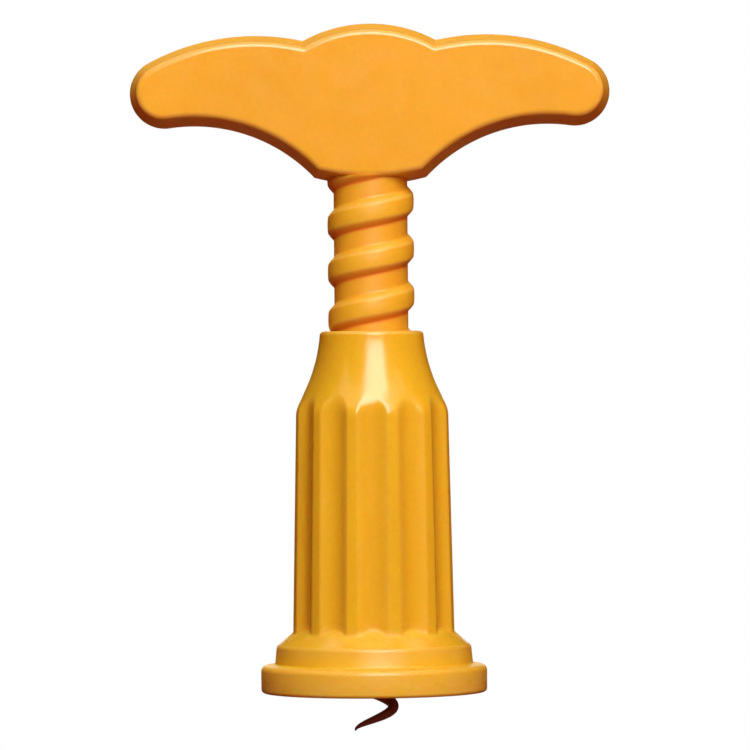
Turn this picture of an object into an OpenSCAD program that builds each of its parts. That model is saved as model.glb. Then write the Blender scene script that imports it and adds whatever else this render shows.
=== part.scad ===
// T-handle corkscrew with a threaded spindle.
// A fluted bell stands on the bottle. A coarse right-hand screw runs through a nut in the bell's
// neck and carries the worm, so turning the handle drives the worm down or draws the cork up.
// Millimetres, +Z up. The origin is on the axis, in the plane of the bell's foot.
// The handle's span lies along X and its front face looks along -Y.

/* [Bell] */
// Height of the bell from its foot to the top of its neck
bell_h = 72.2; // [68:0.2:78]
// Radius of the foot flange
foot_r = 22.6; // [21.6:0.1:25]
// Height of the foot flange
foot_h = 5.4; // [4.5:0.1:6.4]
// Radius of the step that stands on the flange
step_r = 19.8; // [19:0.1:21]
// Height of the step's wall
step_h = 3.9; // [3:0.1:5]
// Height of the slope from the step up to the barrel
slope_h = 2.6; // [1.8:0.1:3.4]
// Radius of the barrel where it leaves the slope
barrel_low_r = 16.4; // [16:0.1:17.2]
// Radius of the barrel at its shoulder
barrel_top_r = 15.5; // [15.1:0.1:16.2]
// Height of the sweep and the neck above the shoulder, where the flutes run out
neck_h = 15.5; // [14:0.1:18]
// Radius of the hollow sweep from the shoulder up to the neck
sweep_r = 32; // [24:0.5:60]
// Radius of the neck at its top
neck_r = 10.4; // [10.2:0.05:11.4]
// Rounding of the moulded outer edges
edge_r = 0.8; // [0.3:0.05:1.1]
// Thickness of the barrel's wall behind a flute
wall = 1.75; // [1.4:0.05:2]

/* [Flutes] */
// Number of flutes round the barrel
flute_count = 12; // [8:1:14]
// Width of a flute across its mouth
flute_w = 6; // [4:0.1:6.6]
// Depth of a flute
flute_depth = 1.2; // [0.6:0.05:1.4]

/* [Bottle seat] */
// Radius of the open mouth in the foot
mouth_r = 20; // [18.4:0.1:20.6]
// Depth of the open mouth
mouth_depth = 3; // [2:0.1:3.6]
// Radius of the seat that takes the bottle's lip
seat_r = 16.6; // [15.6:0.1:17.4]
// Depth of the seat's ledge above the foot
seat_depth = 6.4; // [5:0.1:7.4]

/* [Screw thread] */
// Axial distance from one turn of the thread to the next
pitch = 9.46; // [8.6:0.02:10.4]
// Radius of the spindle over the crest of its thread
crest_r = 8.64; // [8.4:0.02:8.9]
// Radius of the spindle at the root of its thread
core_r = 7.38; // [7:0.02:7.7]
// Width of the thread's crest
crest_w = 3.6; // [2.8:0.05:4]
// Axial run of each flank of the thread
flank_w = 1.1; // [0.6:0.05:1.3]
// Softening of the crest's two edges
crest_soft = 0.35; // [0.1:0.05:0.5]
// Drop of the ridge's middle below the handle's foot, on the right of the handle
thread_drop = 3.3; // [2:0.1:8]
// Clearance between the two threads
thread_gap = 0.3; // [0.2:0.02:0.4]

/* [Spindle] */
// Length of spindle that stands between the neck and the handle at rest
spindle_out = 29.2; // [24:0.2:34]
// Radius of the spigot that carries the stop collar
spigot_r = 5; // [4:0.1:6]
// Radius of the spindle's neck inside the handle
spindle_neck_r = 5; // [4:0.1:5.6]
// Width of the spindle's head inside the handle
head_w = 16; // [14:0.2:18]
// Height of the spindle's head
head_h = 9; // [7:0.2:10]
// Fade of the thread at its lower end, in degrees of turn
fade_turn = 70; // [30:5:120]
// Share of the thread's height at its very end
fade_start = 0.3; // [0.1:0.05:0.6]

/* [Drive nut] */
// Height of the nut's underside above the shoulder's edge
nut_lift = 0.3; // [0:0.1:1]
// Height of the nut
nut_h = 8.6; // [7.4:0.1:9.4]
// Height of the nut's hexagonal flange
nut_flange_h = 3; // [2:0.1:3.4]
// Wall of the nut outside its thread
nut_wall = 1.1; // [0.8:0.05:1.2]

/* [Stop collar] */
// Radius of the stop collar
collar_r = 10.4; // [9.8:0.1:11]
// Thickness of the stop collar
collar_t = 1.5; // [1:0.1:2.2]
// Radial clearance of the collar on its spigot
collar_fit = 0.08; // [0.04:0.01:0.1]
// Axial clearance on each face of the collar
collar_play = 0.12; // [0.05:0.01:0.25]

/* [Ferrule] */
// Wall of the ferrule
ferrule_wall = 1.2; // [0.8:0.1:1.6]
// Length of the ferrule
ferrule_h = 3.4; // [2.8:0.1:5]

/* [Worm] */
// Diameter of the worm's wire
wire_d = 2.2; // [1.8:0.05:2.6]
// Outside diameter of the worm
worm_d = 9.8; // [8:0.1:10]
// Turns of the worm from its point to its shank
worm_turns = 4.5; // [3.5:1:5.5]
// Turns over which the point is ground to a taper
point_turns = 0.6; // [0.3:0.05:0.9]
// Diameter of the wire at the very point
point_d = 0.5; // [0.3:0.05:0.8]
// Turns over which the coil runs in to the shank
run_in_turns = 0.75; // [0.5:0.05:1]
// Inside radius of the shank's hooked end
hook_bend_r = 1; // [0.6:0.1:1.4]
// Reach of the hooked end from the axis
hook_reach = 4.6; // [3.6:0.1:5]

/* [Handle] */
// Span of the handle from tip to tip
handle_span = 96; // [88:0.5:104]
// Height of the handle from its foot to the top of its dome
handle_h = 32.3; // [31:0.1:34]
// Thickness of the handle, both shells together
handle_t = 16; // [15:0.2:18]
// Rounding of the handle's face edges
handle_edge_r = 1; // [0.6:0.1:1.6]
// Wall of each handle shell
shell_wall = 2.2; // [1.6:0.1:2.4]
// Radius of the dome between the wings
dome_r = 28; // [25:0.5:34]
// Height of each wing's crown above the handle's foot
crown_h = 30; // [29:0.1:30.8]
// Radius of the crown along each wing
crown_r = 45; // [41:0.5:50]
// Radius of each wing's rounded tip
tip_r = 7; // [6:0.1:8]
// Height of the tip's centre above the handle's foot
tip_h = 18.5; // [17:0.1:20]
// Radius of the finger hollow under each wing
hollow_r = 33; // [30:0.5:37]
// Half width of the handle's foot
foot_half_w = 11.2; // [10.4:0.1:11.8]
// Radius of the crowned foot of the handle
foot_crown_r = 44; // [36:1:80]
// Depth of the socket in the foot that takes the spindle
socket_depth = 1.6; // [1.3:0.05:2.1]
// Slope of the shells' side walls out to the parting plane, in degrees
draft = 12; // [8:0.5:15]
// Distance of the inner pegs from the axis
peg_x = 20; // [17:0.5:24]
// Radius of the pegs that join the two shells
peg_r = 1.5; // [1:0.1:1.8]
// Length of the pegs past the parting plane
peg_l = 3; // [2:0.1:4]
// Wall of the bosses that the pegs go into
boss_wall = 1.1; // [0.8:0.1:1.4]
// Thickness of the ribs beside the spindle's head
rib_t = 1.6; // [1:0.1:2.2]

/* [Fits] */
// Clearance of fixed pieces in their seats
seat_fit = 0.06; // [0.03:0.01:0.12]
// Clearance kept between the handle and the neck, and under the spindle, at the bottom of travel
stop_gap = 0.3; // [0.2:0.05:0.6]
// Room left between the ferrule and the bottle's lip at the bottom of travel
lip_gap = 0.8; // [0.3:0.1:2]

/* [Hidden] */

$fn = 96;
over = 0.5;                 // how far a cutter passes the face that it cuts
bury = 0.5;                 // how far a ridge or rib is sunk into what carries it
steps_per_turn = 24;        // sections of the screw thread in one turn
worm_steps = 16;            // sections of the worm in one turn
worm_sides = 10;
orange = "#f7a21b";
acetal = "#efe9da";
steel = "#b4b8bc";
coated_steel = "#2f2320";

// Heights of the bell, from the foot up
step_top_z = foot_h + step_h;
barrel_z = step_top_z + slope_h;
shoulder_z = bell_h - neck_h;
nut_z = shoulder_z + nut_lift;
nut_top_z = nut_z + nut_h;
handle_z = bell_h + spindle_out;

// Radii inside the bell
guide_r = crest_r + thread_gap;
nut_bore_r = core_r + thread_gap;
nut_body_r = guide_r + nut_wall;
nut_flange_r = chamber_r(nut_z) - 2 * seat_fit;

// Heights of the spindle's lower end and what it carries
ferrule_z = seat_depth + lip_gap + spindle_out - stop_gap;
collar_z = ferrule_z + ferrule_h + collar_play;
spindle_z = collar_z + collar_t + collar_play;

// Heights and depths inside the handle
lean = tan(draft);
cavity_half = handle_t / 2 - shell_wall;
head_half_d = cavity_half - seat_fit;
socket_z = handle_z + socket_depth;
head_z = handle_z + foot_rise(head_w / 2, shell_wall + cavity_half * lean) + seat_fit;
head_top_z = head_z + head_h;

// Places of the worm
wire_r = wire_d / 2;
coil_r = worm_d / 2 - wire_r;
shank_z = ferrule_z - wire_r;
point_z = shank_z - worm_turns * pitch;
point_angle = 180;
hook_r = hook_bend_r + wire_r;
hook_z = head_top_z - wire_r - seat_fit;

// The handle's outline, in its own plane, with the lowest point of its foot at the origin
foot_c = [0, foot_crown_r];
foot_corner = [foot_half_w, foot_rise(foot_half_w, 0)];
tip_c = [handle_span / 2 - tip_r, tip_h];
hollow_c = crossing(tip_c, hollow_r + tip_r, foot_corner, hollow_r);
crown_cz = crown_h - crown_r;
crown_c = [tip_c.x - sqrt(pow(crown_r - tip_r, 2) - pow(tip_c.y - crown_cz, 2)), crown_cz];
dome_c = [0, handle_h - dome_r];
pegs = [[peg_x, tip_h], [tip_c.x - tip_r / 2, tip_h]];
boss_r = peg_r + boss_wall;
rib_x = head_w / 2 + seat_fit;

function unit(v) = v / norm(v);
function bearing(v) = atan2(v.y, v.x);
// The same turn, taken the short way round
function swing(a) = a - 360 * round(a / 360);
function barrel_r(z) =
    barrel_low_r + (barrel_top_r - barrel_low_r) * (z - barrel_z) / (shoulder_z - barrel_z);
function chamber_r(z) = barrel_r(z) - flute_depth - wall;
// Height of the handle's crowned foot at x, on an outline that is drawn in by an inset
function foot_rise(x, inset) = foot_crown_r - sqrt(pow(foot_crown_r - inset, 2) - x * x);

// The point where two circles cross, to the left of the way from the first centre to the second
function crossing(c0, r0, c1, r1) =
    let (way = c1 - c0, d = norm(way), u = way / d)
    let (along = (d * d + r0 * r0 - r1 * r1) / (2 * d))
    c0 + along * u + sqrt(r0 * r0 - along * along) * [-u.y, u.x];

// Points along an arc, without its first one
function arc(c, r, a0, a1, n) =
    [for (i = [1:n]) c + r * [cos(a0 + (a1 - a0) * i / n), sin(a0 + (a1 - a0) * i / n)]];

// A corner of an outline, rounded to radius r with n steps
function round_corner(before, at, after, r, n = 5) =
    let (u = unit(before - at), w = unit(after - at), half = acos(u * w) / 2)
    let (c = at + unit(u + w) * r / sin(half), a = at + u * r / tan(half))
    let (a0 = bearing(a - c), a1 = bearing(at + w * r / tan(half) - c))
    concat([a], arc(c, r, a0, a0 + swing(a1 - a0), n));

// A closed skin over rings of points, each counter-clockwise when seen along the way of the rings.
// The cap is the list of faces that closes a ring: one polygon, unless the ring's outline is hollow.
module skin(rings, cap = undef) {
    n = len(rings[0]);
    last = len(rings) - 1;
    sides = [for (i = [0:last - 1]) for (j = [0:n - 1])
        let (a = i * n + j, b = i * n + (j + 1) % n) each [[a, b, b + n], [a, b + n, a + n]]];
    lid = is_undef(cap) ? [[for (j = [0:n - 1]) j]] : cap;
    first_lid = [for (face = lid) [for (j = [len(face) - 1:-1:0]) face[j]]];
    last_lid = [for (face = lid) [for (j = face) last * n + j]];
    polyhedron([for (ring = rings) each ring], concat(sides, first_lid, last_lid));
}

// Half the axial width of the spindle's ridge at radius r
function ridge_half(r) = crest_w / 2 + flank_w * (crest_r - r) / (crest_r - core_r);

// The height of the ridge's middle at an angle, counted from +X
function ridge_z(angle) = handle_z - thread_drop + pitch * angle / 360;

// One section of a thread: a profile of [radius, height] pairs set at an angle
function thread_ring(profile, angle) =
    [for (p = profile) [p[0] * cos(angle), p[0] * sin(angle), ridge_z(angle) + p[1]]];

// The spindle's ridge, of which only a share stands up where it fades
function ridge_profile(share) =
    let (root_r = core_r - bury, top_r = root_r + (crest_r - root_r) * share)
    let (soft = crest_soft * share, side_r = top_r - soft)
    let (top_half = ridge_half(crest_r), root_half = ridge_half(root_r))
    let (side_half = root_half + (top_half - root_half) * (side_r - root_r) / (crest_r - root_r))
    [[root_r, -root_half], [side_r, -side_half], [top_r, soft - top_half],
     [top_r, top_half - soft], [side_r, side_half], [root_r, root_half]];

// The groove that clears the ridge all round
groove_profile =
    let (low_r = nut_bore_r - over, low_half = ridge_half(low_r) + thread_gap)
    let (high_half = ridge_half(guide_r) + thread_gap)
    [[low_r, -low_half], [guide_r, -high_half], [guide_r, high_half], [low_r, low_half]];

module thread_ridge() {
    root_half = ridge_half(core_r - bury);
    low = ceil((spindle_z + root_half - ridge_z(0)) / pitch * steps_per_turn);
    high = ceil((socket_z + root_half - ridge_z(0)) / pitch * steps_per_turn);
    step = 360 / steps_per_turn;
    skin([for (i = [low:high])
        thread_ring(ridge_profile(min(1, fade_start + (i - low) * step / fade_turn)), i * step)]);
}

module nut_groove() {
    reach = ridge_half(nut_bore_r) + thread_gap + over;
    low = floor((nut_z - reach - ridge_z(0)) / pitch * steps_per_turn);
    high = ceil((nut_top_z + reach - ridge_z(0)) / pitch * steps_per_turn);
    skin([for (i = [low:high]) thread_ring(groove_profile, i * 360 / steps_per_turn)]);
}

// Foot, step and slope. The slope runs on inwards, so it closes the lower ends of the flutes.
module bell_foot() {
    rise = slope_h / (step_r - barrel_low_r);
    inner_r = barrel_low_r - flute_depth - bury;
    inner_z = barrel_z + rise * (barrel_low_r - inner_r);
    rotate_extrude() polygon(concat(
        [[0, 0]],
        round_corner([0, 0], [foot_r, 0], [foot_r, foot_h], edge_r),
        round_corner([foot_r, 0], [foot_r, foot_h], [step_r, foot_h], edge_r),
        [[step_r, foot_h]],
        round_corner([step_r, foot_h], [step_r, step_top_z], [inner_r, inner_z], edge_r),
        [[inner_r, inner_z], [0, inner_z]]));
}

// Barrel, shoulder and neck as one turned form
module bell_barrel() {
    low_z = step_top_z - over;
    shoulder = [barrel_top_r, shoulder_z];
    neck = [neck_r, bell_h - edge_r];
    sweep_c = crossing(neck, sweep_r, shoulder, sweep_r);
    low = bearing(shoulder - sweep_c);
    sweep = arc(sweep_c, sweep_r, low, low + swing(bearing(neck - sweep_c) - low), 12);
    rotate_extrude() polygon(concat(
        [[0, low_z], [barrel_r(low_z), low_z]],
        round_corner([barrel_r(low_z), low_z], shoulder, sweep[0], edge_r / 2),
        sweep,
        arc(neck - [edge_r, 0], edge_r, 0, 90, 5),
        [[0, bell_h]]));
}

module flute_cutters() {
    flute_r = (pow(flute_w / 2, 2) + pow(flute_depth, 2)) / (2 * flute_depth);
    lean = atan((barrel_low_r - barrel_top_r) / (shoulder_z - barrel_z));
    length = bell_h - foot_h;
    for (i = [0:flute_count - 1])
        rotate([0, 0, -90 + i * 360 / flute_count])
            translate([barrel_r(foot_h) + flute_r - flute_depth, 0, foot_h])
                rotate([0, -lean, 0]) cylinder(r = flute_r, h = length);
}

// Mouth, seat, cork chamber and the stepped hole for the nut
module bell_bore() {
    rotate_extrude() polygon([
        [0, -over], [mouth_r, -over], [mouth_r, mouth_depth], [seat_r, mouth_depth],
        [seat_r, seat_depth], [chamber_r(seat_depth), seat_depth], [chamber_r(nut_z), nut_z], [0, nut_z]]);
    translate([0, 0, nut_z - over])
        cylinder(r = nut_flange_r + seat_fit, h = nut_flange_h + over, $fn = 6);
    translate([0, 0, nut_z]) cylinder(r = nut_body_r + seat_fit, h = nut_h);
    translate([0, 0, nut_z]) cylinder(r = guide_r, h = bell_h);
}

module bell() {
    color(orange) difference() {
        union() {
            difference() {
                bell_barrel();
                flute_cutters();
            }
            bell_foot();
        }
        bell_bore();
    }
}

// The nut goes in from below: its hexagon keeps it from turning and seats on the step above it
module drive_nut() {
    color(acetal) difference() {
        union() {
            translate([0, 0, nut_z]) cylinder(r = nut_flange_r, h = nut_flange_h, $fn = 6);
            translate([0, 0, nut_z]) cylinder(r = nut_body_r, h = nut_h);
        }
        translate([0, 0, nut_z - over]) cylinder(r = nut_bore_r, h = nut_h + 2 * over);
        nut_groove();
    }
}

// Stops against the nut's underside, so the spindle can't be screwed out of the bell
module stop_collar() {
    bevel = collar_t / 4;
    color(steel) translate([0, 0, collar_z]) rotate_extrude() polygon([
        [spigot_r + collar_fit, 0], [collar_r - bevel, 0], [collar_r, bevel],
        [collar_r, collar_t - bevel], [collar_r - bevel, collar_t], [spigot_r + collar_fit, collar_t]]);
}

module spindle() {
    slot_half = wire_r + seat_fit;
    spigot_z = ferrule_z + ferrule_wall;
    color(orange) difference() {
        union() {
            translate([0, 0, spindle_z]) cylinder(r = core_r, h = socket_z - spindle_z);
            translate([0, 0, spigot_z]) cylinder(r = spigot_r, h = spindle_z - spigot_z + over);
            translate([0, 0, socket_z - over]) cylinder(r = spindle_neck_r, h = head_z - socket_z + 2 * over);
            translate([-head_w / 2, -head_half_d, head_z]) cube([head_w, 2 * head_half_d, head_h]);
            difference() {
                thread_ridge();
                handle_foot_block();
            }
        }
        translate([0, 0, spigot_z - over])
            cylinder(r = wire_r + seat_fit, h = head_top_z - spigot_z + 2 * over);
        translate([-slot_half, 0, hook_z - slot_half])
            cube([2 * slot_half, handle_t, wire_d + handle_t]);
        translate([-slot_half, 0, hook_z - hook_r])
            cube([2 * slot_half, hook_r, handle_t]);
    }
}

// The crowned foot of the handle as a block, to trim the thread that runs up to it
module handle_foot_block() {
    translate([0, 0, handle_z + foot_crown_r]) rotate([90, 0, 0])
        cylinder(r = foot_crown_r + seat_fit, h = 4 * crest_r, center = true);
}

// Cup that is pressed on the spigot, holds the collar up and closes the end of the spindle
module worm_ferrule() {
    outer_r = spigot_r + ferrule_wall;
    inner_r = spigot_r + seat_fit;
    color(steel) translate([0, 0, ferrule_z]) rotate_extrude() polygon(concat(
        [[wire_r + seat_fit, 0]],
        round_corner([0, 0], [outer_r, 0], [outer_r, ferrule_h], ferrule_wall / 2),
        [[outer_r, ferrule_h], [inner_r, ferrule_h], [inner_r, ferrule_wall - seat_fit],
         [wire_r + seat_fit, ferrule_wall - seat_fit]]));
}

// The worm's centre line: its coil, the run-in to the axis, the straight shank and the hook
function coil_radius(turn) =
    let (left = (worm_turns - turn) / run_in_turns)
    left >= 1 ? coil_r : coil_r * (1 - cos(180 * left)) / 2;
function coil_point(turn) =
    let (angle = point_angle + 360 * turn, r = coil_radius(turn))
    [r * cos(angle), r * sin(angle), point_z + pitch * turn];
coil_turn = [for (i = [0:worm_turns * worm_steps]) i / worm_steps];
coil_line = [for (turn = coil_turn) coil_point(turn)];
hook_line = [for (a = [0:18:90]) [0, hook_r * (1 - cos(a)), hook_z - hook_r * (1 - sin(a))]];
worm_line = concat(coil_line, hook_line, [[0, hook_reach, hook_z]]);

// The wire's radius along the coil, ground down towards the point
function wire_radius(turn) =
    turn >= point_turns ? wire_r
    : point_d / 2 + (wire_r - point_d / 2) * sin(90 * turn / point_turns);

// A ring of the wire round a point of its line, square to the line and turned to a side
function wire_ring(at, way, side, r) =
    let (across = unit(side - way * (side * way)), up = cross(across, way))
    [for (j = [0:worm_sides - 1])
        at + r * (cos(360 * j / worm_sides) * across + sin(360 * j / worm_sides) * up)];
function line_way(line, i) = unit(line[min(i + 1, len(line) - 1)] - line[max(i - 1, 0)]);

module worm() {
    last_coil = len(coil_line) - 1;
    end_side = [cos(point_angle + 360 * worm_turns), sin(point_angle + 360 * worm_turns), 0];
    color(coated_steel) skin([for (i = [0:len(worm_line) - 1])
        let (coiled = i < last_coil, angle = coiled ? point_angle + 360 * coil_turn[i] : 0)
        let (side = coiled ? [cos(angle), sin(angle), 0] : end_side)
        let (way = i == last_coil ? [0, 0, 1] : line_way(worm_line, i))
        wire_ring(worm_line[i], i == last_coil + 1 ? [0, 0, 1] : way, side,
                  coiled ? wire_radius(coil_turn[i]) : wire_r)]);
}

// The least gap between turns of the worm, measured on its centre line
worm_gap = min([for (i = [0:len(coil_line) - 1]) for (j = [i + worm_steps / 2:len(coil_line) - 1])
    norm(coil_line[i] - coil_line[j])]) - wire_d;
echo(str("Least gap of the worm to itself, mm: ", worm_gap));

// The right half of the handle's outline, drawn in by an inset, from its foot to its dome. Its lower
// and upper edges have as many points each, so strips between them close the handle's faces.
arc_steps = 5;
wing_steps = 9;
tip_steps = 12;
edge_steps = 5;             // steps round the edge of the handle's face
half_steps = 2 * arc_steps + 2 * wing_steps + tip_steps;
function half_outline(inset) =
    let (corner = crossing(hollow_c, hollow_r + inset, foot_c, foot_crown_r - inset))
    let (notch = crossing(dome_c, dome_r - inset, crown_c, crown_r - inset))
    let (under = bearing(tip_c - hollow_c), over_tip = bearing(tip_c - crown_c))
    concat(
        [[0, inset]],
        arc(foot_c, foot_crown_r - inset, -90, bearing(corner - foot_c), arc_steps),
        arc(hollow_c, hollow_r + inset, bearing(corner - hollow_c), under, wing_steps),
        arc(tip_c, tip_r - inset, under - 180, over_tip, tip_steps),
        arc(crown_c, crown_r - inset, over_tip, bearing(notch - crown_c), wing_steps),
        arc(dome_c, dome_r - inset, bearing(notch - dome_c), 90, arc_steps));
function mirrored(i) = (2 * half_steps - i) % (2 * half_steps);
outline_cap = [for (i = [0:half_steps / 2 - 1])
    let (low = i, next_low = i + 1, high = half_steps - i, next_high = half_steps - i - 1)
    each concat(
        [[low, next_low, high], [mirrored(next_low), mirrored(low), mirrored(high)]],
        next_low == next_high ? []
        : [[next_low, next_high, high], [mirrored(next_high), mirrored(next_low), mirrored(high)]])];

// The whole outline at a depth y behind the handle's parting plane
function outline_ring(inset, y) =
    let (half = half_outline(inset), n = len(half))
    [for (i = [0:2 * n - 3])
        let (p = i < n ? half[i] : half[2 * n - 2 - i])
        [i < n ? p.x : -p.x, y, handle_z + p.y]];

// One hollow half of the handle, on the front of the parting plane (side -1) or behind it (side 1).
// The front half's rings run from its face to its rim and back inside, the rear half's the other way.
module shell_skin(side) {
    edge_y = handle_t / 2 - handle_edge_r;
    edge_inset = (edge_y + handle_edge_r * sin(draft)) * lean + handle_edge_r * cos(draft);
    rings = concat(
        [for (i = [0:edge_steps])
            let (a = 90 - (90 - draft) * i / edge_steps)
            outline_ring(edge_inset - handle_edge_r * cos(a), side * (edge_y + handle_edge_r * sin(a)))],
        [outline_ring(0, 0), outline_ring(shell_wall, 0),
         outline_ring(shell_wall + cavity_half * lean, side * cavity_half)]);
    last = len(rings) - 1;
    skin([for (i = [0:last]) rings[side < 0 ? i : last - i]], outline_cap);
}

// Ribs beside the spindle's head and the plate that it pulls against
module head_seat() {
    seat_half = rib_x + rib_t;
    depth = cavity_half + bury / 2;
    low = handle_z + foot_rise(seat_half, depth * lean) + seat_fit / 2;
    translate([-seat_half, -depth, low]) cube([2 * seat_half, depth, head_z - low]);
    for (side = [-1, 1])
        translate([side > 0 ? rib_x : -rib_x - rib_t, -depth, head_z - bury])
            cube([rib_t, depth, head_h + bury]);
}

module peg_bosses() {
    for (side = [-1, 1], peg = pegs)
        translate([side * peg.x, 0, handle_z + peg.y]) rotate([90, 0, 0])
            cylinder(r = boss_r, h = cavity_half + bury);
}

// The pegs of the front shell, or with a clearance the holes for them in the rear shell
module peg_pins(clearance) {
    for (side = [-1, 1], peg = pegs)
        translate([side * peg.x, -over, handle_z + peg.y]) rotate([-90, 0, 0])
            cylinder(r = peg_r + clearance, h = peg_l + over + 2 * clearance);
}

module handle_shell(side) {
    difference() {
        union() {
            shell_skin(side);
            mirror([0, side > 0 ? 1 : 0, 0]) {
                head_seat();
                peg_bosses();
            }
        }
        translate([0, 0, handle_z - over]) cylinder(r = core_r + seat_fit, h = socket_depth + over);
        translate([0, 0, handle_z]) cylinder(r = spindle_neck_r + seat_fit, h = head_z - handle_z + over);
    }
}

module handle_front_shell() {
    color(orange) union() {
        handle_shell(-1);
        peg_pins(0);
    }
}

module handle_rear_shell() {
    color(orange) difference() {
        handle_shell(1);
        peg_pins(seat_fit);
    }
}

bell();
drive_nut();
stop_collar();
spindle();
worm_ferrule();
worm();
handle_front_shell();
handle_rear_shell();
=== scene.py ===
"""T-handle corkscrew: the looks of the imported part, laid out as an add-on and run as a script.

Everything is in metres and in the part's own frame: the axis is Z, the bell's foot is at Z = 0 and
the handle's front face looks along -Y.
"""
import math
from functools import partialmethod

import bmesh
import bpy
from bpy.props import FloatProperty, FloatVectorProperty, IntProperty, PointerProperty
from mathutils import Matrix, Quaternion, Vector


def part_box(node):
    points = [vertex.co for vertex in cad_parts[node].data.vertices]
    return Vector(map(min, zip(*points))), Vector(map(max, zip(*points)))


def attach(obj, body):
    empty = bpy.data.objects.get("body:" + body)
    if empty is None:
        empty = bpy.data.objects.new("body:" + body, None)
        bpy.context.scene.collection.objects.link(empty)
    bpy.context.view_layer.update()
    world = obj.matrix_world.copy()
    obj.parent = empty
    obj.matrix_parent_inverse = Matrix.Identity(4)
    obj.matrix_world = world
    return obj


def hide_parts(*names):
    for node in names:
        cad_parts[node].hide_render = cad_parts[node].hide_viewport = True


bl_info = {
    "name": "T-handle corkscrew",
    "version": (1, 0, 0),
    "blender": (4, 5, 0),
    "location": "View3D > Sidebar > Corkscrew",
    "description": "Builds a moulded corkscrew with a screw drive, and a plain studio for it",
    "category": "Add Mesh",
}

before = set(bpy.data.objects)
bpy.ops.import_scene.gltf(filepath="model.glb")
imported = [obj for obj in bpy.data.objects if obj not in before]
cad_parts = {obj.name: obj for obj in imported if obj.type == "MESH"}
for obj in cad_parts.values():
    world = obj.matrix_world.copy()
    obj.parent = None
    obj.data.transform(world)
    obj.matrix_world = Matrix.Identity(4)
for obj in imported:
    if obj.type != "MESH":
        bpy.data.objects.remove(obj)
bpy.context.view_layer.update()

MM = 0.001
TURN = 2 * math.pi
QUARTER = math.pi / 2
BELL_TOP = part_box("bell")[1]
HANDLE_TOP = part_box("handle_front_shell")[1]
FERRULE_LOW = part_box("worm_ferrule")[0]
COLLAR_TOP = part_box("stop_collar")[1]
NUT_LOW, NUT_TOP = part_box("drive_nut")
WORM_LOW, WORM_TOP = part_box("worm")

# Play where pieces fit together, a gap too small to see, and how near two points become one
PLAY = 0.06 * MM
HAIR = 0.02 * MM
JOIN = 0.002 * MM


def linear(code):
    """A linear colour with full alpha from an sRGB hex code."""
    channels = [int(code[i:i + 2], 16) / 255 for i in (1, 3, 5)]
    return (*[c / 12.92 if c <= 0.04045 else ((c + 0.055) / 1.055) ** 2.4 for c in channels], 1.0)


def number(description, default, **more):
    """A plain number, or one with the unit or subtype that is given."""
    return FloatProperty(description=description, default=default, **more)


def length(description, millimetres):
    """A size, given in millimetres and kept in metres."""
    return number(description, millimetres * MM, min=0.0, unit="LENGTH", precision=5)


def count(description, default):
    """A whole number of things."""
    return IntProperty(description=description, default=default, min=3)


def colour(description, code):
    """A surface colour, given as sRGB hex."""
    return FloatVectorProperty(description=description, default=linear(code), size=4, min=0.0, max=1.0,
                               subtype="COLOR")


def named(group):
    """Names each property of a group after its key."""
    for key, item in group.__annotations__.items():
        item.keywords["name"] = key.replace("_", " ").capitalize()
    return group


@named
class BellSizes(bpy.types.PropertyGroup):
    """Sizes of the bell"""
    height: length("From the foot to the top of the neck", BELL_TOP.z / MM)
    foot_radius: length("Radius of the foot flange", BELL_TOP.x / MM)
    foot_height: length("Height of the foot flange", 5.4)
    foot_fall: length("Fall of the foot's upper face to its edge", 0.35)
    step_radius: length("Radius of the step on the flange", 19.8)
    step_height: length("Height of the step's wall", 3.9)
    step_draft: length("How far the step's wall leans in at its top", 0.35)
    slope_height: length("Height of the slope up to the barrel", 2.6)
    slope_soft: length("Rounding where the barrel meets the slope", 0.4)
    barrel_low: length("Radius of the barrel at the slope", 16.4)
    barrel_top: length("Radius of the barrel at the shoulder", 15.5)
    neck_height: length("From the shoulder to the top of the neck", 15.5)
    sweep_radius: length("Radius of the hollow sweep up to the neck", 32)
    neck_radius: length("Radius of the neck at its top", 10.4)
    edge_radius: length("Rounding of the lowest and the highest edge", 0.8)
    soft_edge: length("Rounding of the upper edges of foot and step", 1.2)
    wall: length("Wall behind a flute", 1.75)
    flute_count: count("Number of flutes", 12)
    flute_width: length("Width of a flute at its mouth", 6)
    flute_depth: length("Depth of a flute", 1.2)
    flute_soft: length("Rounding of the flutes' edges", 0.8)
    mouth_radius: length("Radius of the mouth in the foot", 20)
    mouth_depth: length("Depth of the mouth in the foot", 3)
    seat_radius: length("Radius of the seat for the bottle's lip", 16.6)
    seat_depth: length("Height of the seat's ledge", 6.4)


@named
class ScrewSizes(bpy.types.PropertyGroup):
    """Sizes of the threaded spindle"""
    pitch: length("Distance from turn to turn", 9.46)
    crest_radius: length("Radius over the thread", 8.64)
    core_radius: length("Radius at the thread's root", 7.38)
    crest_width: length("Width of the thread's crest", 3.6)
    flank_width: length("Axial run of each flank", 1.1)
    ridge_soft: length("Rounding of the crest's edges", 0.28)
    crest_bow: length("Fall of the crest from its middle to its edges", 0.12)
    drop: length("From the handle's foot down to the ridge, on the right", 3.3)
    satin: number("Dullness of the moulded thread", 0.8, min=0.0, max=1.0)
    steps: count("Sections in one turn of the thread", 96)
    spigot_radius: length("Radius of the lower spigot", 5)
    head_width: length("Width of the head inside the handle", 16)
    head_height: length("Height of the head inside the handle", 9)


@named
class WormSizes(bpy.types.PropertyGroup):
    """Sizes of the worm"""
    wire: length("Diameter of the wire", 2.2)
    diameter: length("Outside diameter of the coil", 9.8)
    turns: number("Turns of the coil", 4.5, min=1.0)
    point_turns: number("Turns over which the point is ground", 0.6)
    point: length("Diameter at the very point", 0.36)
    run_in: number("Turns from the coil to the shank", 0.75)
    hook_bend: length("Inside radius of the hooked end", 1)
    hook_reach: length("Reach of the hooked end", 4.6)


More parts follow.
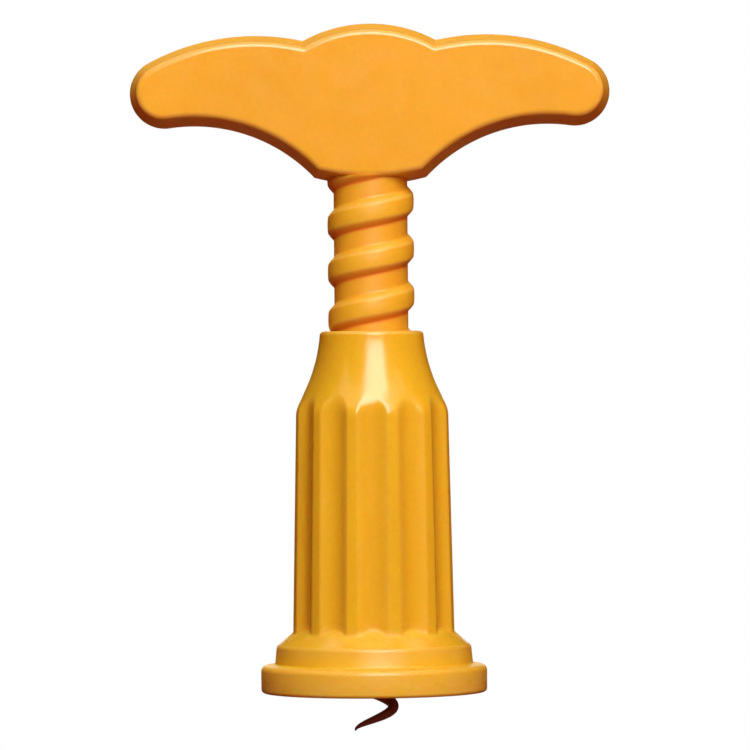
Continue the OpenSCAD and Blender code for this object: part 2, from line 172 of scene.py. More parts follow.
@named
class HandleSizes(bpy.types.PropertyGroup):
    """Sizes of the handle"""
    span: length("From tip to tip", 96)
    height: length("From the foot to the top of the dome", 32.3)
    thickness: length("Both shells together", 16)
    edge_radius: length("Rounding of the face's edges", 1.2)
    draft: number("Slope of the side walls out to the parting plane", math.radians(12), subtype="ANGLE")
    wall: length("Wall of each shell", 2.2)
    dome_radius: length("Radius of the dome", 28)
    crown_height: length("Height of the wings' crowns", 30)
    crown_radius: length("Radius along the wings", 45)
    tip_radius: length("Radius of the wings' tips", 7)
    tip_height: length("Height of the tips' centres", 18.5)
    hollow_radius: length("Radius of the finger hollows", 33)
    foot_half: length("Half the width of the handle's foot", 11.2)
    foot_crown: length("Radius of the crowned foot", 44)
    socket_depth: length("Depth of the spindle's socket", 1.6)
    seam: length("Width of the soft edge along the parting line", 0.12)


@named
class FinishSettings(bpy.types.PropertyGroup):
    """Colours of the materials"""
    handle: colour("Colour of the handle's shells", "#f6b931")
    bell: colour("Colour of the bell", "#f0c127")
    spindle: colour("Colour of the spindle", "#f4be26")
    acetal: colour("Colour of the nut", "#efe9da")
    zinc: colour("Colour of the plated pieces", "#c3c6c8")
    coating: colour("Colour of the coated wire", "#8e6657")
    bare_steel: colour("Steel where the coating is worn", "#b09c90")


@named
class StageSettings(bpy.types.PropertyGroup):
    """The studio"""
    floor: colour("Colour of the floor as it lights the object", "#7c4538")
    room: colour("Colour of the light from all round", "#ff7c62")
    backdrop: colour("Colour behind the object", "#ffffff")
    drop: length("From the worm's point to the floor, with room to drive the worm", 29)
    distance: length("From the camera to the axis", 1100)
    camera_height: length("Height of the camera above the bell's foot", 65.9)
    lens: number("Focal length in millimetres", 264.05)
    aim_x: number("Aim beside the axis", 0.63 * MM, unit="LENGTH")
    aim_z: length("Height of the aim", 63.4)
    roll: number("Roll of the camera", math.radians(-0.45), subtype="ANGLE")
    key: number("Power of the front softbox", 17.8, unit="POWER")
    fill_left: number("Power of the weak softbox on the left", 0.4, unit="POWER")
    fill_right: number("Power of the weak softbox on the right", 2.0, unit="POWER")
    fill_colour: colour("Colour of the light from both sides", "#ffa082")
    back: number("Power of the softbox behind", 18.0, unit="POWER")
    ambient: number("Strength of the light from all round", 0.22)


@named
class CorkscrewSettings(bpy.types.PropertyGroup):
    """Everything that a user would change"""
    bell: PointerProperty(type=BellSizes)
    screw: PointerProperty(type=ScrewSizes)
    worm: PointerProperty(type=WormSizes)
    handle: PointerProperty(type=HandleSizes)
    finish: PointerProperty(type=FinishSettings)
    stage: PointerProperty(type=StageSettings)


class Flow:
    """What runs out of a node's socket. Arithmetic with it adds the nodes that carry it out."""

    def __init__(self, nodes, socket):
        self.nodes = nodes
        self.socket = socket

    def run(self, operation, *others):
        """The result of a math node."""
        values = {f"_{i}": value for i, value in enumerate((self, *others))}
        return self.nodes.add("ShaderNodeMath", {"operation": operation}, **values)

    __add__ = partialmethod(run, "ADD")
    __sub__ = partialmethod(run, "SUBTRACT")
    __rsub__ = partialmethod(run, "MULTIPLY_ADD", -1.0)
    __mul__ = partialmethod(run, "MULTIPLY")
    __truediv__ = partialmethod(run, "DIVIDE")
    __pow__ = partialmethod(run, "POWER")


class Nodes:
    """A node tree, and short ways to add the nodes that are used again and again."""

    def __init__(self, tree, material=None):
        self.tree = tree
        self.material = material

    def add(self, kind, settings=None, out=0, **inputs):
        """Adds a node with its settings and inputs, and returns what runs out of one of its sockets.

        An input goes by its name with _ for a space, or by its index after a _.
        """
        node = self.tree.nodes.new(kind)
        for key, value in (settings or {}).items():
            setattr(node, key, value)
        for key, value in inputs.items():
            socket = node.inputs[int(key[1:]) if key[1:].isdigit() else key.replace("_", " ")]
            if isinstance(value, Flow):
                self.tree.links.new(value.socket, socket)
            else:
                socket.default_value = value
        return Flow(self, node.outputs[out]) if len(node.outputs) else None

    def noise(self, place, size, detail=2.0, **more):
        """Noise with grains of about a size."""
        return self.add("ShaderNodeTexNoise", out="Fac", Vector=place, Scale=1 / size, Detail=detail, **more)

    def ranged(self, value, start, end, low=0.0, high=1.0):
        """A value that goes from start to end while another goes from low to high."""
        return self.add("ShaderNodeMapRange", Value=value, From_Min=low, From_Max=high, To_Min=start,
                        To_Max=end)

    def scaled(self, shade, factor):
        """A colour made lighter or darker by a factor."""
        return self.add("ShaderNodeVectorMath", {"operation": "SCALE"}, _0=shade[:3], Scale=factor)

    def mix(self, share, first, second):
        """A colour between two others."""
        return self.add("ShaderNodeMix", {"data_type": "RGBA"}, out=2, _0=share, _6=first, _7=second)

    def bump(self, height, strength, distance, **more):
        """A surface direction that follows a relief."""
        return self.add("ShaderNodeBump", Height=height, Strength=strength, Distance=distance, **more)

    def mark(self, name):
        """A value that the mesh carries at its points."""
        return self.add("ShaderNodeAttribute", {"attribute_name": name}, out="Fac")

    def surface(self, shader):
        """Ends the nodes of a material, and returns the material."""
        self.add("ShaderNodeOutputMaterial", Surface=shader)
        return self.material

    def skin(self, **inputs):
        """Ends the nodes of a material with the common kind of surface."""
        return self.surface(self.add("ShaderNodeBsdfPrincipled", **inputs))


def new_material(name):
    """The nodes of an empty material, and the place on the object."""
    material = bpy.data.materials.get(name) or bpy.data.materials.new(name)
    material.use_nodes = True
    material.node_tree.nodes.clear()
    nodes = Nodes(material.node_tree, material)
    return nodes, nodes.add("ShaderNodeTexCoord", out="Object")


# Marks in the plastic: flow marks, pigment specks coarser than the real ones so that they show,
# rubbed patches, mould grain, and a slow waviness that breaks up the highlights
FLOW_MARK = 14 * MM
FLOW_STRETCH = (1.0, 1.0, 0.45)
SPECK = 0.9 * MM
PATCH = 3.5 * MM
GRAIN, GRAIN_DEPTH = 0.5 * MM, 0.05 * MM
WAVE, WAVE_DEPTH = 6 * MM, 0.25 * MM
# How much paler rubbed edges are, how much green is left in the painted shade of nooks, and how much duller
# satin is
PALER, PAINTED_SHADE_GREEN, DULLER = 0.09, 0.5, 0.3


def orange_plastic(name, body):
    """Moulded styrene plastic: dense orange colour, a satin gloss and a little light in its depth.

    The mould leaves faint flow marks in the colour, a fine grain in the gloss and satin places such as
    the handle's side walls, and handling rubs the edges a little paler. In the flutes, under the thread
    and under the handle the colour is painted redder: painted shade for the light that goes from face to
    face there, and for the shade under the handle.
    """
    nodes, place = new_material(name)
    drawn = nodes.add("ShaderNodeMapping", Vector=place, Scale=FLOW_STRETCH)
    marks = nodes.ranged(nodes.noise(drawn, FLOW_MARK, 3.0, Roughness=0.55), 1.0, 0.94, low=0.35, high=0.7)
    specks = nodes.ranged(nodes.noise(place, SPECK), 0.975, 1.02, low=0.3, high=0.7)
    patches = nodes.noise(place, PATCH, 4.0)
    paler = [channel + (1 - channel) * PALER for channel in body]
    worn = nodes.mix(nodes.mark("rub") * patches, nodes.scaled(body, marks * specks), paler)
    # Painted shade: a redder copy of the colour, used where the mesh marks shade between faces
    painted_shade_colour = (body[0], body[1] * PAINTED_SHADE_GREEN, body[2], 1.0)
    gloss = nodes.mark("satin") * DULLER + nodes.ranged(patches, 0.17, 0.25, low=0.3, high=0.7)
    fine = nodes.bump(nodes.noise(place, GRAIN), 0.06, GRAIN_DEPTH)
    relief = nodes.bump(nodes.noise(place, WAVE, 1.0), 0.16, WAVE_DEPTH, Normal=fine)
    return nodes.skin(Base_Color=nodes.mix(nodes.mark("nook"), worn, painted_shade_colour), Roughness=gloss, Normal=relief,
                      IOR=1.59, Subsurface_Weight=0.5, Subsurface_Scale=1.5 * MM,
                      Subsurface_Radius=(1.0, 0.3, 0.06))


def acetal(finish):
    """Moulded acetal: milky, waxy and dull, with a slight cloudiness."""
    nodes, place = new_material("moulded_acetal")
    cloud = nodes.ranged(nodes.noise(place, 5 * MM), 0.9, 1.04)
    return nodes.skin(Base_Color=nodes.scaled(finish.acetal, cloud), Roughness=0.42, IOR=1.48,
                      Subsurface_Weight=0.2, Subsurface_Scale=1 * MM)


# Distance of the lathe's rings, about 2.5 mm and coarser than real ones so that they show, and the
# angle by which a wave texture of scale one goes on in a unit of length
RING_GAP, WAVE_ANGLE = 0.4 * TURN * MM, 20


def zinc_plate(finish):
    """Turned steel with bright zinc plate: fine rings from the lathe and a slightly cloudy shine."""
    nodes, place = new_material("zinc_plated_steel")
    rough = nodes.ranged(nodes.noise(place, 2.5 * MM, 3.0), 0.24, 0.42)
    rings = nodes.add("ShaderNodeTexWave", {"wave_type": "RINGS", "rings_direction": "Z"}, out="Fac",
                      Vector=place, Scale=TURN / RING_GAP / WAVE_ANGLE, Distortion=0.3)
    return nodes.skin(Base_Color=finish.zinc, Metallic=1.0, Roughness=rough,
                      Normal=nodes.bump(rings, 0.15, 0.03 * MM))


def coated_wire(finish):
    """Steel wire with a dark brown low-friction coating: smooth, and worn to steel in small rubs."""
    nodes, place = new_material("coated_steel_wire")
    streaks = nodes.noise(place, 1.1 * MM, 4.0)
    worn = nodes.ranged(streaks, 0.0, 0.55, low=0.6, high=0.78)
    relief = nodes.bump(streaks, 0.12, 0.04 * MM)
    return nodes.skin(Base_Color=nodes.mix(worn, finish.coating, finish.bare_steel), IOR=1.5,
                      Roughness=nodes.ranged(streaks, 0.16, 0.3), Normal=relief)


def link(name, data):
    """A new object in the scene."""
    obj = bpy.data.objects.new(name, data)
    bpy.context.scene.collection.objects.link(obj)
    return obj


def geometry_tree(name, *inputs):
    """Nodes of a new geometry tree, and what runs into it: names after their type, and a material."""
    tree = bpy.data.node_groups.new(name, "GeometryNodeTree")
    for kind, *labels in (*inputs, ("Material", "Material")):
        for label in labels:
            tree.interface.new_socket(label, in_out="INPUT", socket_type=f"NodeSocket{kind}")
    tree.interface.new_socket("Geometry", in_out="OUTPUT", socket_type="NodeSocketGeometry")
    nodes = Nodes(tree)
    sockets = tree.nodes.new("NodeGroupInput").outputs
    return nodes, {socket.name: Flow(nodes, socket) for socket in sockets}


def close_tree(nodes, given, form):
    """Ends a tree: instances become real, near points join if a distance is given, the material is set."""
    real = nodes.add("GeometryNodeRealizeInstances", Geometry=form)
    if "Join distance" in given:
        real = nodes.add("GeometryNodeMergeByDistance", Geometry=real, Distance=given["Join distance"])
    coated = nodes.add("GeometryNodeSetMaterial", Geometry=real, Material=given["Material"])
    nodes.add("NodeGroupOutput", _0=coated)
    return nodes.tree


def apply_tree(obj, tree, name, values):
    """Runs a geometry tree on an object and returns its result as a plain mesh object."""
    modifier = obj.modifiers.new(tree.name, "NODES")
    modifier.node_group = tree
    for item in tree.interface.items_tree:
        if item.in_out == "INPUT" and item.name in values:
            modifier[item.identifier] = values[item.name]
    return plain_mesh(obj, name)


def plain_mesh(source, name):
    """Turns an object with its modifiers into a plain mesh object, and removes the source."""
    depsgraph = bpy.context.evaluated_depsgraph_get()
    mesh = bpy.data.meshes.new_from_object(source.evaluated_get(depsgraph), depsgraph=depsgraph)
    mesh.name = name
    for i in reversed(range(len(mesh.materials))):
        if mesh.materials[i] is None:
            mesh.materials.pop(index=i)
    bpy.data.objects.remove(source)
    return link(name, mesh)


def form_of(mesh):
    """A mesh, opened for work on its points and faces."""
    form = bmesh.new()
    form.from_mesh(mesh)
    return form


def write_form(form, mesh):
    """Puts the work on points and faces into a mesh, and closes it."""
    form.to_mesh(mesh)
    form.free()
    return mesh


def smooth(mesh, sharp=math.radians(38)):
    """Smooth shading with hard edges where two faces meet at more than an angle."""
    form = form_of(mesh)
    for face in form.faces:
        face.smooth = True
    for edge in form.edges:
        edge.smooth = len(edge.link_faces) == 2 and edge.calc_face_angle(0.0) < sharp
    write_form(form, mesh)


def finish_piece(obj, body, nodes):
    """Smooths an object and makes it a piece of the part: it rides on a body and stands for CAD nodes."""
    smooth(obj.data)
    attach(obj, body)
    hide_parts(*nodes)


def crossing(c0, r0, c1, r1):
    """Where two circles cross, to the left of the way from the first centre to the second."""
    way = c1 - c0
    along = (way.length_squared + r0 * r0 - r1 * r1) / (2 * way.length)
    unit = way.normalized()
    return c0 + unit * along + Vector((-unit.y, unit.x)) * math.sqrt(r0 * r0 - along * along)


def bearing(way):
    """The angle of a direction."""
    return math.atan2(way.y, way.x)


def arc(centre, radius, start, end, steps):
    """Points along an arc, without its first one."""
    angles = [start + (end - start) * i / steps for i in range(1, steps + 1)]
    return [centre + Vector((math.cos(angle), math.sin(angle))) * radius for angle in angles]


def round_corner(before, at, after, radius, steps):
    """A corner of an outline, rounded to a radius."""
    back, onward = (before - at).normalized(), (after - at).normalized()
    half = back.angle(onward) / 2
    centre = at + (back + onward).normalized() * radius / math.sin(half)
    start = at + back * radius / math.tan(half)
    angle = bearing(start - centre)
    swing = bearing(at + onward * radius / math.tan(half) - centre) - angle
    swing -= TURN * round(swing / TURN)
    return [start] + arc(centre, radius, angle, angle + swing, steps)


def soft_min(first, second, reach):
    """The lesser of two lengths, with the change from one to the other rounded over a reach."""
    near = max(reach - abs(first - second), 0.0) / reach
    return min(first, second) - near * near * reach / 4


def bisect(function, low, high, rounds=36):
    """Where a function passes from minus to plus."""
    for _ in range(rounds):
        middle = (low + high) / 2
        low, high = (middle, high) if function(middle) < 0 else (low, middle)
    return (low + high) / 2


def eased(start, end, steps):
    """Steps from start to end, without the start, closer together at both ends."""
    return [start + (end - start) * (1 - math.cos(math.pi * i / steps)) / 2 for i in range(1, steps + 1)]


# Lanes across half a flute, as shares of the angle to its edge, and steps along the bell's section
LANES = (0, 0.18, 0.36, 0.52, 0.66, 0.78, 0.87, 0.94, 1, 1.06, 1.12, 1.18, 1.26, 1.34)
CORNER_STEPS, NOOK_STEPS, LIP_STEPS = 6, 4, 7
SLOPE_STEPS, BARREL_STEPS, SWEEP_STEPS, CHAMBER_STEPS = 7, 30, 20, 8
# How strongly the bell is marked, and how far the marks reach; the flutes' mark is painted shade, a redder
# colour deeper in a flute
ARRIS_RUB, ARRIS_REACH = 0.35, 0.5 * MM
JOINT_SATIN, JOINT_REACH = 0.9, 1.2 * MM
EDGE_RUB, EDGE_SATIN, FLUTE_PAINTED_SHADE = 0.6, 0.5, 0.12
# The nook over the foot, the spindle's hole, the nut's pocket and the bevel of the mouth
NOOK_RADIUS, GUIDE_RADIUS, GUIDE_EDGE = 0.35 * MM, 8.94 * MM, 0.4 * MM
POCKET_RADIUS, FLANGE_HEIGHT, MOUTH_BEVEL = 10.1 * MM, 3 * MM, 0.3 * MM
# How far beyond the barrel's ends the ends of its flutes are looked for
LOW_REACH, HIGH_REACH = 4 * MM, 1 * MM


def bell_lanes(bell):
    """The bell's section at angles across one flute: (angle, closed run of points).

    A point is radius, height, rub, painted shade and satin.
    """
    foot_in = bell.foot_height + bell.foot_fall
    step_top = bell.foot_height + bell.step_height
    step_lip = bell.step_radius - bell.step_draft
    barrel_z = step_top + bell.slope_height
    shoulder = Vector((bell.barrel_top, bell.height - bell.neck_height))
    neck = Vector((bell.neck_radius, bell.height - bell.edge_radius))
    sweep_c = crossing(neck, bell.sweep_radius, shoulder, bell.sweep_radius)
    flute_r = ((bell.flute_width / 2) ** 2 + bell.flute_depth ** 2) / (2 * bell.flute_depth)

    def barrel(z):
        share = (z - barrel_z) / (shoulder.y - barrel_z)
        return bell.barrel_low + (bell.barrel_top - bell.barrel_low) * share

    def sweep(z):
        return sweep_c.x - math.sqrt(max(bell.sweep_radius ** 2 - (z - sweep_c.y) ** 2, 0.0))

    def slope(z):
        return step_lip - (z - step_top) * (step_lip - bell.barrel_low) / bell.slope_height

    def flute(z, angle):
        centre = barrel(z) + flute_r - bell.flute_depth
        half = flute_r ** 2 - (centre * math.sin(angle)) ** 2
        return centre * math.cos(angle) - math.sqrt(half) if half > 0 else 1.0

    def outer(z, angle):
        wall = soft_min(barrel(z), sweep(z), bell.flute_soft)
        wall = soft_min(wall, flute(z, angle), bell.flute_soft)
        return -soft_min(-wall, -slope(z), bell.slope_soft)

    def rub(z, angle):
        arris = (min(barrel(z), sweep(z)) - flute(z, angle)) / ARRIS_REACH
        return ARRIS_RUB * math.exp(-arris * arris)

    # Painted shade: the colour is redder the deeper a point lies in its flute, below the shoulder
    def nook(z, angle):
        sunk = (barrel(z) - outer(z, angle)) / bell.flute_depth
        return FLUTE_PAINTED_SHADE * min(max(sunk, 0.0), 1.0) * (z < shoulder.y)

    def satin(z, angle):
        gap = (min(barrel(z), sweep(z), flute(z, angle)) - slope(z)) / JOINT_REACH
        return JOINT_SATIN * math.exp(-gap * gap)

    def chamber(z):
        return barrel(z) - bell.flute_depth - bell.wall

    corners = [Vector(corner) for corner in (
        (0, 0), (bell.foot_radius, 0), (bell.foot_radius, bell.foot_height), (bell.step_radius, foot_in),
        (step_lip, step_top), (bell.barrel_low, barrel_z))]
    soft = (bell.soft_edge, CORNER_STEPS, EDGE_RUB, EDGE_SATIN)
    edges = ((bell.edge_radius, CORNER_STEPS, 1, 0), soft, (NOOK_RADIUS, NOOK_STEPS, 0, EDGE_SATIN), soft)
    below = []
    for i, (radius, steps, worn, dull) in enumerate(edges):
        below += [(*v, worn, 0.0, dull) for v in round_corner(*corners[i:i + 3], radius, steps)]

    flange, ledge = NUT_TOP.x + PLAY, NUT_LOW.z + FLANGE_HEIGHT
    bore = [(GUIDE_RADIUS + share * GUIDE_EDGE, bell.height - fall * GUIDE_EDGE)
            for share, fall in ((1, 0), (0.3, 0.3), (0, 1))]
    bore += [(GUIDE_RADIUS, NUT_TOP.z), (POCKET_RADIUS, NUT_TOP.z), (POCKET_RADIUS, ledge), (flange, ledge),
             (flange, NUT_LOW.z), (chamber(NUT_LOW.z), NUT_LOW.z - HAIR)]
    bore += [(chamber(z), z) for z in eased(NUT_LOW.z, bell.seat_depth, CHAMBER_STEPS)]
    bore += [(bell.seat_radius, bell.seat_depth), (bell.seat_radius, bell.mouth_depth),
             (bell.mouth_radius, bell.mouth_depth), (bell.mouth_radius, MOUTH_BEVEL),
             (bell.mouth_radius + MOUTH_BEVEL, 0)]
    lip = arc(neck - Vector((bell.edge_radius, 0)), bell.edge_radius, 0, QUARTER, LIP_STEPS)
    above = [(*v, 1, 0.0, 0.0) for v in lip] + [(*v, 0, 0.0, 0.0) for v in bore]

    centre = bell.barrel_low + flute_r - bell.flute_depth
    arris = math.acos((bell.barrel_low ** 2 + centre ** 2 - flute_r ** 2) / (2 * bell.barrel_low * centre))
    right = [arris * share for share in LANES] + [math.pi / bell.flute_count]
    lanes = []
    for angle in [-a for a in reversed(right[1:])] + right:
        low, high = (bisect(lambda z: min(barrel(z), flute(z, angle)) - form(z), start, end)
                     for form, start, end in ((slope, step_top, barrel_z + LOW_REACH),
                                              (sweep, shoulder.y - HIGH_REACH, bell.height)))
        heights = (eased(below[-1][1], low, SLOPE_STEPS) + eased(low, high, BARREL_STEPS)
                   + eased(high, neck.y, SWEEP_STEPS))
        wall = [(outer(z, angle), z, rub(z, angle), nook(z, angle), satin(z, angle)) for z in heights]
        lanes.append((angle, below + wall + above))
    return lanes


def flute_ring_tree():
    """Geometry tree that sets a sector with one flute round the axis and joins the sectors."""
    nodes, given = geometry_tree("flute_ring", ("Geometry", "Sector"), ("Int", "Count"),
                                 ("Float", "First angle", "Join distance"))
    angle = nodes.add("GeometryNodeInputIndex") / given["Count"] * TURN + given["First angle"]
    turn = nodes.add("FunctionNodeAxisAngleToRotation", Axis=(0, 0, 1), Angle=angle)
    spots = nodes.add("GeometryNodePoints", Count=given["Count"])
    ring = nodes.add("GeometryNodeInstanceOnPoints", Points=spots, Instance=given["Sector"], Rotation=turn)
    return close_tree(nodes, given, ring)


class CORKSCREW_OT_add_bell(bpy.types.Operator):
    """Build the fluted bell that stands on the bottle"""
    bl_idname = "corkscrew.add_bell"
    bl_label = "Bell"

    def execute(self, context):
        settings = context.scene.corkscrew
        lanes = bell_lanes(settings.bell)
        n = len(lanes[0][1])
        points = [(r * math.cos(a), r * math.sin(a), z) for a, run in lanes for r, z, *_ in run]
        faces = [(j * n + i, (j + 1) * n + i, (j + 1) * n + (i + 1) % n, j * n + (i + 1) % n)
                 for j in range(len(lanes) - 1) for i in range(n)]
        mesh = bpy.data.meshes.new("bell_sector")
        mesh.from_pydata(points, [], faces)
        for at, name in ((2, "rub"), (3, "nook"), (4, "satin")):
            marks = mesh.attributes.new(name, "FLOAT", "POINT")
            marks.data.foreach_set("value", [point[at] for _, run in lanes for point in run])
        bell = apply_tree(link("bell_sector", mesh), flute_ring_tree(), "bell_moulding", {
            "Count": settings.bell.flute_count, "First angle": -QUARTER, "Join distance": JOIN,
            "Material": orange_plastic("moulded_styrene_bell", settings.finish.bell)})
        finish_piece(bell, "bell", ["bell"])
        return {"FINISHED"}


# Points across the thread's strip, its turns and those of them above the handle's foot, which are cut
# off, and how a flank curves
STRIP_POINTS, STRIP_TURNS, TURNS_ABOVE, FLANK_CURVE = 41, 9, 2, 1.3
# Inputs of the thread that are the spindle's sizes, and those that follow from its place
SIZE_INPUTS = ("Pitch", "Core radius", "Crest radius", "Crest width", "Flank width", "Ridge soft",
               "Crest bow", "Satin")
PLACE_INPUTS = ("First ridge", "Low end", "High end", "Foot", "Foot slope", "Crown radius")
# Marks on the thread: reach of the rub in half crests; painted shade, a redder colour under the ridge,
# its reach in flanks up and down, its reach under the handle's overhang, and its share on the core
RUB_REACH, PAINTED_SHADE_UP, PAINTED_SHADE_DOWN = 0.35, 1.3, 0.7
HANDLE_SHADE_REACH, CORE_PAINTED_SHADE = 3 * MM, 0.2


def thread_tree():
    """Geometry tree of the spindle's thread: a strip one pitch wide that is wound up the axis.

    The strip's middle stands up as the ridge. The lower end is flat. At the upper end the ridge stops
    under the crowned foot of the handle and the core runs on into the handle's socket.
    """
    nodes, given = geometry_tree("screw_thread", ("Int", "Turns", "Steps"),
                                 ("Float", *SIZE_INPUTS, *PLACE_INPUTS, "Join distance"))
    pitch, core, crest, width, flank, soft, bow, satin = (given[name] for name in SIZE_INPUTS)
    first, low, high, foot, slope, crown = (given[name] for name in PLACE_INPUTS)
    grid = nodes.add("GeometryNodeMeshGrid", Size_X=1.0, Size_Y=1.0, Vertices_Y=STRIP_POINTS,
                     Vertices_X=given["Turns"] * given["Steps"] + 1.0)
    spot = nodes.add("GeometryNodeInputPosition")
    onward, across = (nodes.add("ShaderNodeSeparateXYZ", out=axis, Vector=spot) for axis in "XY")
    wound = (onward + 0.5) * given["Turns"]
    cosine, sine = ((wound * TURN).run(name) for name in ("COSINE", "SINE"))
    along = across * pitch
    middle = wound * pitch + first
    height = middle + along
    half = width * 0.5
    depth = crest - core

    def ridge_at(offset):
        """Radius of the thread at an offset from the ridge's middle."""
        away = offset.run("ABSOLUTE")
        fallen = nodes.ranged(away, 0.0, 1.0, half - soft, half + flank)
        bowed = ((away / half) ** 2.0).run("MINIMUM", 1.0) * bow
        return (1.0 - fallen ** FLANK_CURVE) * (depth - bowed) + core

    # Height of the handle's foot over the crest
    side = crest * cosine
    arched = crown - (crown ** 2.0 - side * side).run("SQRT")
    limit = foot + ((crest * sine).run("ABSOLUTE") * slope + arched)
    rise = ridge_at(along)
    for end, beyond in ((limit, height.run("GREATER_THAN", limit)), (low, height.run("LESS_THAN", low))):
        spare = (rise - ridge_at(end - middle)).run("MAXIMUM", 0.0)
        rise = rise - beyond * spare
    ridge = rise.run("GREATER_THAN", core + HAIR)
    held = height.run("MAXIMUM", low).run("MINIMUM", ridge * (limit - high) + high)
    place = nodes.add("ShaderNodeCombineXYZ", X=rise * cosine, Y=rise * sine, Z=held)

    # Painted shade: the colour is made redder under each ridge, under the handle's overhang at the sides,
    # and more where the core is sunk
    edge = ((along.run("ABSOLUTE") - half) / (half * RUB_REACH)).run("ABSOLUTE")
    under = along + (half + flank)
    near = (under / (flank * PAINTED_SHADE_UP)).run("MAXIMUM", under / (flank * -PAINTED_SHADE_DOWN))
    handle_shade = (1.0 - (limit - height) / HANDLE_SHADE_REACH).run("MAXIMUM", 0.0) * cosine ** 2.0
    sunk = (crest - rise) / depth * CORE_PAINTED_SHADE
    strip = grid
    for name, value in (("rub", (1.0 - edge).run("MAXIMUM", 0.0)), ("satin", satin),
                        ("nook", (1.0 - near).run("MAXIMUM", handle_shade).run("MAXIMUM", sunk))):
        strip = nodes.add("GeometryNodeStoreNamedAttribute", {"data_type": "FLOAT", "domain": "POINT"},
                          Geometry=strip, Name=name, Value=value)
    return close_tree(nodes, given, nodes.add("GeometryNodeSetPosition", Geometry=strip, Position=place))


def bridge(form, rings):
    """Adds the faces from ring to ring of points."""
    for a, b in zip(rings, rings[1:]):
        for i in range(len(a)):
            k = (i + 1) % len(a)
            form.faces.new((a[i], a[k], b[k], b[i]))


def add_post(form, radius, low, high, bevel, sides=64):
    """Adds an upright post with bevelled ends to a mesh."""
    rings = [(radius - bevel, low), (radius, low + bevel), (radius, high - bevel), (radius - bevel, high)]
    verts = [[form.verts.new((r * math.cos(TURN * i / sides), r * math.sin(TURN * i / sides), z))
              for i in range(sides)] for r, z in rings]
    bridge(form, verts)
    form.faces.new(reversed(verts[0]))
    form.faces.new(verts[-1])


def add_block(form, low, high):
    """Adds a block between two corners to a mesh."""
    size = Vector(high) - Vector(low)
    spot = Matrix.Translation((Vector(low) + Vector(high)) / 2) @ Matrix.Diagonal((*size, 1.0))
    bmesh.ops.create_cube(form, size=1.0, matrix=spot)


def add_pin(form, place, radius, depth, sides=32):
    """Adds a round pin that lies along Y to a mesh."""
    spot = Matrix.Translation(place) @ Matrix.Rotation(QUARTER, 4, "X")
    bmesh.ops.create_cone(form, cap_ends=True, segments=sides, radius1=radius, radius2=radius, depth=depth,
                          matrix=spot)


# From the ferrule's end up to the spigot, how far solids reach into each other, and bevels of the posts
SPIGOT_LOW, SPIGOT_LAP, SPIGOT_BEVEL = 1.2 * MM, 0.2 * MM, 0.15 * MM
NECK_LAP, NECK_BEVEL = 0.5 * MM, 0.1 * MM


class CORKSCREW_OT_add_spindle(bpy.types.Operator):
    """Build the coarse screw that carries the worm"""
    bl_idname = "corkscrew.add_spindle"
    bl_label = "Spindle"

    def execute(self, context):
        settings = context.scene.corkscrew
        screw, handle = settings.screw, settings.handle
        foot = HANDLE_TOP.z - handle.height
        low = COLLAR_TOP.z + 2 * PLAY
        base = link("spindle_strip", bpy.data.meshes.new("spindle_strip"))
        sizes = {name: getattr(screw, name.lower().replace(" ", "_")) for name in SIZE_INPUTS}
        spindle = apply_tree(base, thread_tree(), "spindle_screw", {
            **sizes, "Turns": STRIP_TURNS, "Steps": screw.steps, "Low end": low, "Foot": foot - PLAY,
            "First ridge": foot - screw.drop - (STRIP_TURNS - TURNS_ABOVE) * screw.pitch,
            "High end": foot + handle.socket_depth - HAIR, "Foot slope": math.tan(handle.draft),
            "Crown radius": handle.foot_crown, "Join distance": JOIN,
            "Material": orange_plastic("moulded_styrene_spindle", settings.finish.spindle)})
        form = form_of(spindle.data)
        bmesh.ops.dissolve_degenerate(form, dist=JOIN / 2, edges=form.edges[:])
        bmesh.ops.holes_fill(form, edges=[e for e in form.edges if e.is_boundary], sides=0)
        bmesh.ops.recalc_face_normals(form, faces=form.faces[:])
        head = head_height(handle, screw, foot)
        wide, depth = screw.head_width / 2, handle.thickness / 2 - handle.wall - PLAY
        add_post(form, screw.spigot_radius, FERRULE_LOW.z + SPIGOT_LOW, low + SPIGOT_LAP, SPIGOT_BEVEL)
        add_post(form, screw.spigot_radius, foot, head + NECK_LAP, NECK_BEVEL)
        add_block(form, (-wide, -depth, head), (wide, depth, head + screw.head_height))
        for face in form.faces:
            face.material_index = 0
        write_form(form, spindle.data)
        finish_piece(spindle, "screw", ["spindle"])
        return {"FINISHED"}


# Sections in one turn of the worm's coil and in the bend of its hook, and sides of its wire
COIL_STEPS, BEND_STEPS, WIRE_SIDES = 48, 8, 28


def worm_path(worm, pitch):
    """Points of the worm's centre line from its point to its hook, each with the wire's radius."""
    wire = worm.wire / 2
    coil = worm.diameter / 2 - wire
    low = FERRULE_LOW.z - wire - worm.turns * pitch
    hook = worm.hook_bend + wire
    hook_z = WORM_TOP.z - wire
    line = []
    for i in range(round(worm.turns * COIL_STEPS) + 1):
        turn = i / COIL_STEPS
        left = (worm.turns - turn) / worm.run_in
        r = coil if left >= 1 else coil * (1 - math.cos(math.pi * left)) / 2
        angle = math.pi + TURN * turn
        ground = math.sin(QUARTER * min(turn / worm.point_turns, 1.0))
        thick = worm.point / 2 + (wire - worm.point / 2) * ground
        line.append((r * math.cos(angle), r * math.sin(angle), low + pitch * turn, thick))
    for i in range(BEND_STEPS + 1):
        a = QUARTER * i / BEND_STEPS
        line.append((0.0, hook * (1 - math.cos(a)), hook_z - hook * (1 - math.sin(a)), wire))
    line.append((0.0, worm.hook_reach, hook_z, wire))
    return line


